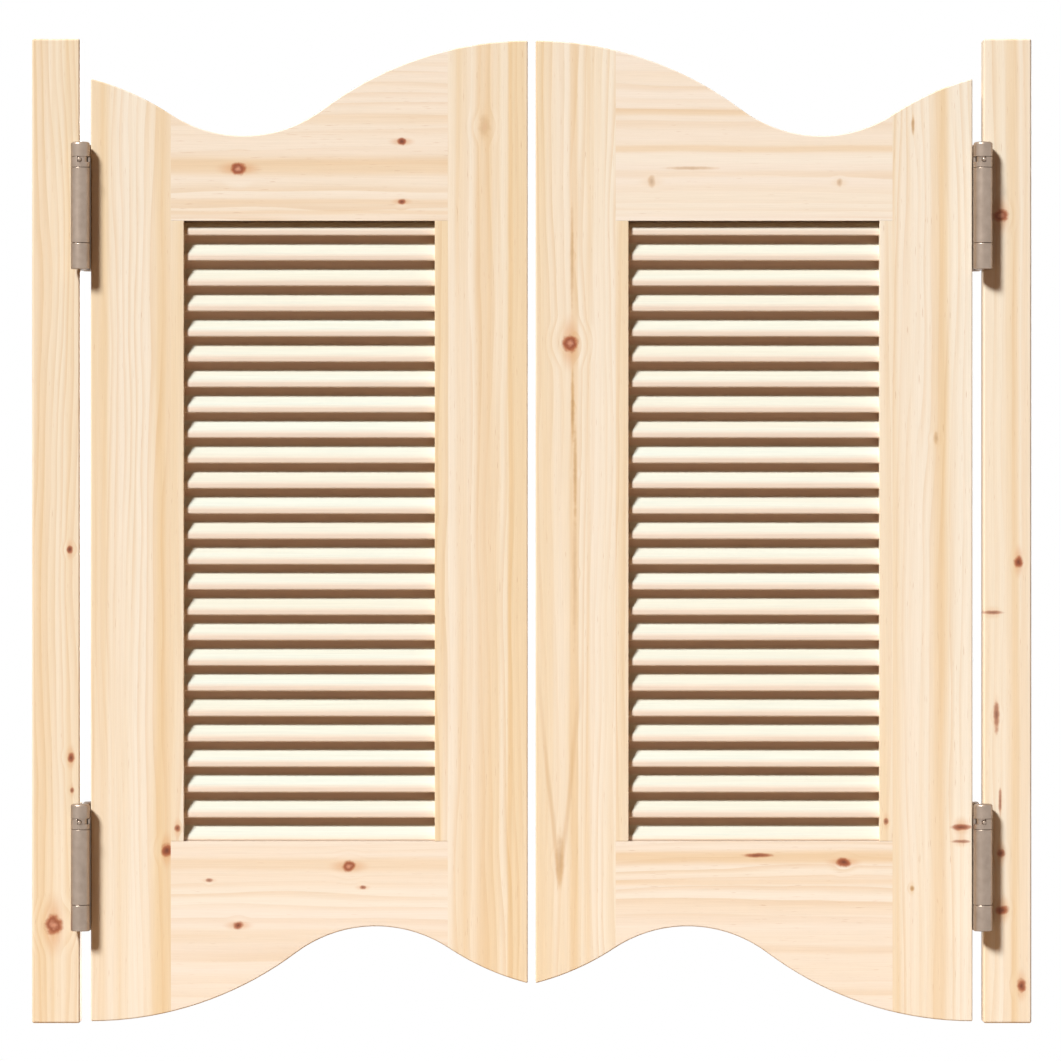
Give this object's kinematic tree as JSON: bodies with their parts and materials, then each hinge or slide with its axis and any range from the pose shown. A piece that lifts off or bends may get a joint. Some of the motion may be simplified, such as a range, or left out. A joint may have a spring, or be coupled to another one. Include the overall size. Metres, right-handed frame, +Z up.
{
  "type": "cafe swinging doors",
  "caption": "Pair of louvred pine saloon doors with wavy top and bottom edges, hung between jamb posts on double-acting spring hinges that let each leaf swing both ways and close by itself.",
  "frame": {"origin": "middle of the doorway, halfway through the boards' thickness, level with the feet of the posts", "axes": "+X to the right seen from the front, +Y to the back, +Z up"},
  "size_m": [1, 0.082, 0.985],
  "materials": {
    "pine": "sanded and clear lacquered",
    "slats": "sanded and clear lacquered",
    "hinge_steel": "satin",
    "spring_steel": "oiled"
  },
  "bodies": {
    "frame": {"left_post": "pine", "left_lower_hinge_jamb_leaf": "hinge_steel", "left_lower_hinge_front_spindle": "hinge_steel", "left_upper_hinge_jamb_leaf": "hinge_steel", "left_upper_hinge_front_spindle": "hinge_steel", "right_post": "pine", "right_lower_hinge_jamb_leaf": "hinge_steel", "right_lower_hinge_front_spindle": "hinge_steel", "right_upper_hinge_jamb_leaf": "hinge_steel", "right_upper_hinge_front_spindle": "hinge_steel"},
    "left_webs": {"left_lower_hinge_web": "hinge_steel", "left_lower_hinge_front_spring": "spring_steel", "left_lower_hinge_rear_spring": "spring_steel", "left_upper_hinge_web": "hinge_steel", "left_upper_hinge_front_spring": "spring_steel", "left_upper_hinge_rear_spring": "spring_steel"},
    "left_leaf": {"left_hanging_stile": "pine", "left_meeting_stile": "pine", "left_top_rail": "pine", "left_bottom_rail": "pine", "left_slatted_strip": "slats", "left_slotted_strip": "pine", "left_lower_hinge_door_leaf": "hinge_steel", "left_lower_hinge_rear_spindle": "hinge_steel", "left_upper_hinge_door_leaf": "hinge_steel", "left_upper_hinge_rear_spindle": "hinge_steel"},
    "left_lower_front_collar": {"left_lower_hinge_front_collar": "hinge_steel", "left_lower_hinge_front_stop_pin": "hinge_steel"},
    "left_lower_rear_collar": {"left_lower_hinge_rear_collar": "hinge_steel", "left_lower_hinge_rear_stop_pin": "hinge_steel"},
    "left_upper_front_collar": {"left_upper_hinge_front_collar": "hinge_steel", "left_upper_hinge_front_stop_pin": "hinge_steel"},
    "left_upper_rear_collar": {"left_upper_hinge_rear_collar": "hinge_steel", "left_upper_hinge_rear_stop_pin": "hinge_steel"},
    "right_webs": {"right_lower_hinge_web": "hinge_steel", "right_lower_hinge_front_spring": "spring_steel", "right_lower_hinge_rear_spring": "spring_steel", "right_upper_hinge_web": "hinge_steel", "right_upper_hinge_front_spring": "spring_steel", "right_upper_hinge_rear_spring": "spring_steel"},
    "right_leaf": {"right_hanging_stile": "pine", "right_meeting_stile": "pine", "right_top_rail": "pine", "right_bottom_rail": "pine", "right_slatted_strip": "slats", "right_slotted_strip": "pine", "right_lower_hinge_door_leaf": "hinge_steel", "right_lower_hinge_rear_spindle": "hinge_steel", "right_upper_hinge_door_leaf": "hinge_steel", "right_upper_hinge_rear_spindle": "hinge_steel"},
    "right_lower_front_collar": {"right_lower_hinge_front_collar": "hinge_steel", "right_lower_hinge_front_stop_pin": "hinge_steel"},
    "right_lower_rear_collar": {"right_lower_hinge_rear_collar": "hinge_steel", "right_lower_hinge_rear_stop_pin": "hinge_steel"},
    "right_upper_front_collar": {"right_upper_hinge_front_collar": "hinge_steel", "right_upper_hinge_front_stop_pin": "hinge_steel"},
    "right_upper_rear_collar": {"right_upper_hinge_rear_collar": "hinge_steel", "right_upper_hinge_rear_stop_pin": "hinge_steel"}
  },
  "joints": [
    {"name": "left_front_swing", "type": "hinge", "parent": "frame", "child": "left_webs", "pos_m": [-0.45083, -0.025, 0.4925], "axis": [0, 0, 1], "range_deg": [-90, 0], "stiffness_Nm_per_rad": 1.4, "springref_deg": 68.75},
    {"name": "left_back_swing", "type": "hinge", "parent": "left_webs", "child": "left_leaf", "pos_m": [-0.44217, 0.025, 0.4925], "axis": [0, 0, 1], "range_deg": [0, 90], "stiffness_Nm_per_rad": 1.4, "springref_deg": -68.75},
    {"name": "left_lower_front_collar_turn", "type": "hinge", "parent": "frame", "child": "left_lower_front_collar", "pos_m": [-0.45083, -0.025, 0.205], "axis": [0, 0, 1], "range_deg": [0, 75], "stiffness_Nm_per_rad": 0.2, "springref_deg": -114.59},
    {"name": "left_lower_rear_collar_turn", "type": "hinge", "parent": "left_leaf", "child": "left_lower_rear_collar", "pos_m": [-0.44217, 0.025, 0.205], "axis": [0, 0, 1], "range_deg": [0, 75], "stiffness_Nm_per_rad": 0.2, "springref_deg": -114.59},
    {"name": "left_upper_front_collar_turn", "type": "hinge", "parent": "frame", "child": "left_upper_front_collar", "pos_m": [-0.45083, -0.025, 0.866], "axis": [0, 0, 1], "range_deg": [0, 75], "stiffness_Nm_per_rad": 0.2, "springref_deg": -114.59},
    {"name": "left_upper_rear_collar_turn", "type": "hinge", "parent": "left_leaf", "child": "left_upper_rear_collar", "pos_m": [-0.44217, 0.025, 0.866], "axis": [0, 0, 1], "range_deg": [0, 75], "stiffness_Nm_per_rad": 0.2, "springref_deg": -114.59},
    {"name": "right_front_swing", "type": "hinge", "parent": "frame", "child": "right_webs", "pos_m": [0.45083, -0.025, 0.4925], "axis": [0, 0, 1], "range_deg": [0, 90], "stiffness_Nm_per_rad": 1.4, "springref_deg": -68.75},
    {"name": "right_back_swing", "type": "hinge", "parent": "right_webs", "child": "right_leaf", "pos_m": [0.44217, 0.025, 0.4925], "axis": [0, 0, 1], "range_deg": [-90, 0], "stiffness_Nm_per_rad": 1.4, "springref_deg": 68.75},
    {"name": "right_lower_front_collar_turn", "type": "hinge", "parent": "frame", "child": "right_lower_front_collar", "pos_m": [0.45083, -0.025, 0.205], "axis": [0, 0, 1], "range_deg": [-75, 0], "stiffness_Nm_per_rad": 0.2, "springref_deg": 114.59},
    {"name": "right_lower_rear_collar_turn", "type": "hinge", "parent": "right_leaf", "child": "right_lower_rear_collar", "pos_m": [0.44217, 0.025, 0.205], "axis": [0, 0, 1], "range_deg": [-75, 0], "stiffness_Nm_per_rad": 0.2, "springref_deg": 114.59},
    {"name": "right_upper_front_collar_turn", "type": "hinge", "parent": "frame", "child": "right_upper_front_collar", "pos_m": [0.45083, -0.025, 0.866], "axis": [0, 0, 1], "range_deg": [-75, 0], "stiffness_Nm_per_rad": 0.2, "springref_deg": 114.59},
    {"name": "right_upper_rear_collar_turn", "type": "hinge", "parent": "right_leaf", "child": "right_upper_rear_collar", "pos_m": [0.44217, 0.025, 0.866], "axis": [0, 0, 1], "range_deg": [-75, 0], "stiffness_Nm_per_rad": 0.2, "springref_deg": 114.59}
  ]
}
